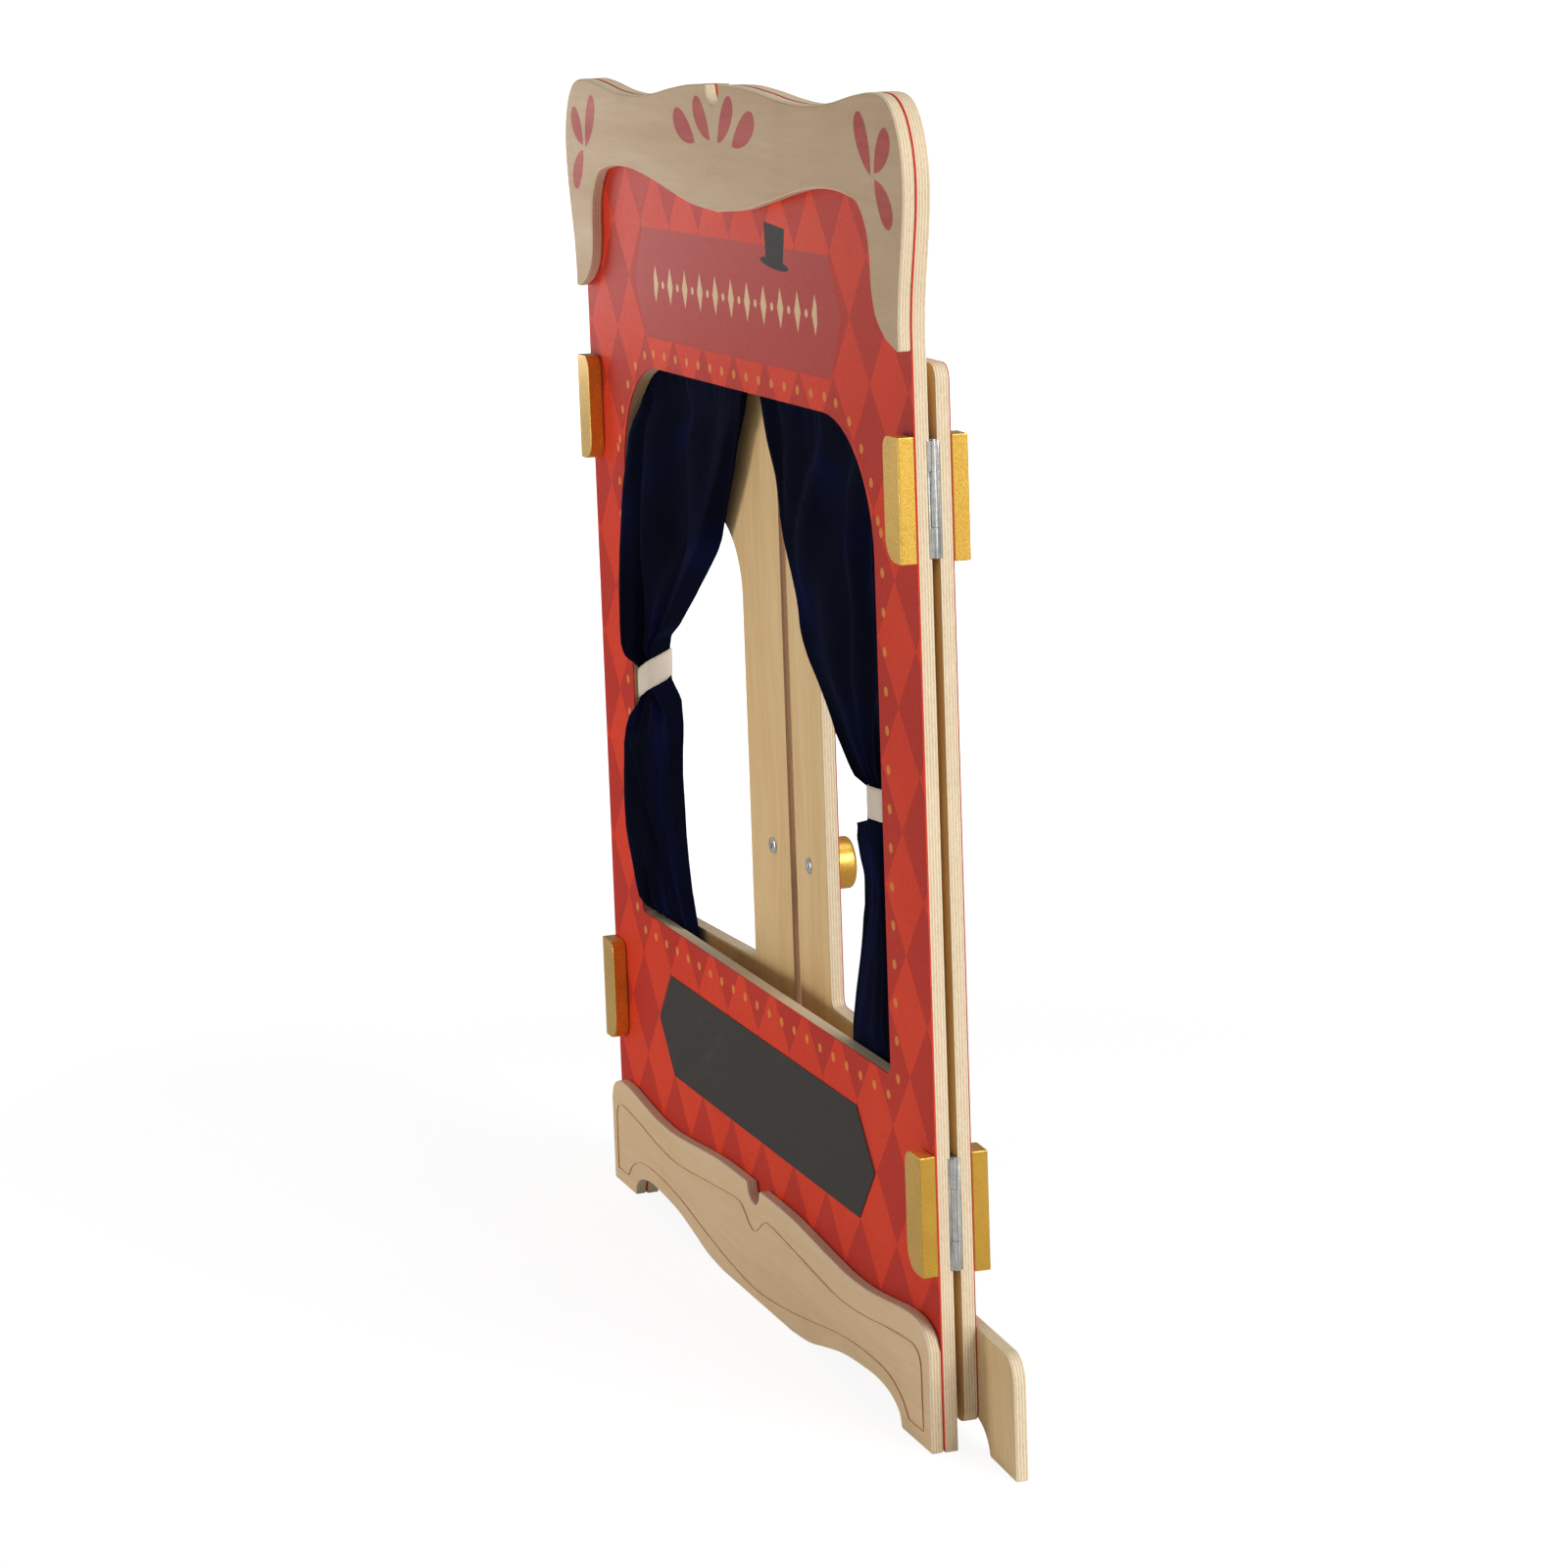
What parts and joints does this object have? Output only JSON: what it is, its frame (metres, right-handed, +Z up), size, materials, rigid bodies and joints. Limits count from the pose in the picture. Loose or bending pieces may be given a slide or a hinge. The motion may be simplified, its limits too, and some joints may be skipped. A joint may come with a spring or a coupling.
{
  "type": "puppet theatre stand",
  "caption": "Folding puppet theatre stand: a plywood front with a stage window, curved crest and apron, tied curtains and two hinged wings with windows and feet.",
  "frame": {"origin": "on the floor under the middle of the folded stand", "axes": "+Z up, +X to the right as the audience sees the front, -Y towards the audience"},
  "size_m": [1.1126, 0.0984, 1.2],
  "materials": {
    "birch_ply": "clear satin plywood",
    "pale_ply": "clear satin plywood trim",
    "red_print": "printed sheet, satin",
    "chalkboard_black": "matte chalkboard film",
    "gold_paint": "metallic gold paint on wood",
    "zinc_steel": "zinc plated",
    "navy_velvet": "short-pile velvet",
    "cream_cloth": "plain woven band"
  },
  "bodies": {
    "centre": {"apron_board": "pale_ply", "centre_panel": "birch_ply", "chalkboard_sheet": "chalkboard_black", "crest_board": "pale_ply", "curtain_wire": "zinc_steel", "face_print_sheet": "red_print", "left_curtain": "navy_velvet", "left_lower_face_block": "gold_paint", "left_lower_hinge_panel_leaf": "zinc_steel", "left_lower_hinge_pin": "zinc_steel", "left_lower_panel_leaf_screw_1": "zinc_steel", "left_lower_panel_leaf_screw_2": "zinc_steel", "left_screw_eye": "zinc_steel", "left_tie_band": "cream_cloth", "left_upper_face_block": "gold_paint", "left_upper_hinge_panel_leaf": "zinc_steel", "left_upper_hinge_pin": "zinc_steel", "left_upper_panel_leaf_screw_1": "zinc_steel", "left_upper_panel_leaf_screw_2": "zinc_steel", "right_curtain": "navy_velvet", "right_lower_face_block": "gold_paint", "right_lower_hinge_panel_leaf": "zinc_steel", "right_lower_hinge_pin": "zinc_steel", "right_lower_panel_leaf_screw_1": "zinc_steel", "right_lower_panel_leaf_screw_2": "zinc_steel", "right_screw_eye": "zinc_steel", "right_tie_band": "cream_cloth", "right_upper_face_block": "gold_paint", "right_upper_hinge_panel_leaf": "zinc_steel", "right_upper_hinge_pin": "zinc_steel", "right_upper_panel_leaf_screw_1": "zinc_steel", "right_upper_panel_leaf_screw_2": "zinc_steel"},
    "left_wing": {"left_knob": "gold_paint", "left_knob_bolt": "zinc_steel", "left_lower_hinge_wing_leaf": "zinc_steel", "left_lower_wing_block": "gold_paint", "left_lower_wing_leaf_screw_1": "zinc_steel", "left_lower_wing_leaf_screw_2": "zinc_steel", "left_upper_hinge_wing_leaf": "zinc_steel", "left_upper_wing_block": "gold_paint", "left_upper_wing_leaf_screw_1": "zinc_steel", "left_upper_wing_leaf_screw_2": "zinc_steel", "left_wing_foot": "pale_ply", "left_wing_panel": "birch_ply", "left_wing_print_sheet": "red_print"},
    "right_wing": {"right_knob": "gold_paint", "right_knob_bolt": "zinc_steel", "right_lower_hinge_wing_leaf": "zinc_steel", "right_lower_wing_block": "gold_paint", "right_lower_wing_leaf_screw_1": "zinc_steel", "right_lower_wing_leaf_screw_2": "zinc_steel", "right_upper_hinge_wing_leaf": "zinc_steel", "right_upper_wing_block": "gold_paint", "right_upper_wing_leaf_screw_1": "zinc_steel", "right_upper_wing_leaf_screw_2": "zinc_steel", "right_wing_foot": "pale_ply", "right_wing_panel": "birch_ply", "right_wing_print_sheet": "red_print"}
  },
  "joints": [
    {"name": "left_wing_hinge", "type": "hinge", "parent": "centre", "child": "left_wing", "pos_m": [-0.463, -0.01691, 0.536], "axis": [0, 0, 1], "range_deg": [0, 112]},
    {"name": "right_wing_hinge", "type": "hinge", "parent": "centre", "child": "right_wing", "pos_m": [0.463, -0.01691, 0.536], "axis": [0, 0, -1], "range_deg": [0, 112]}
  ]
}
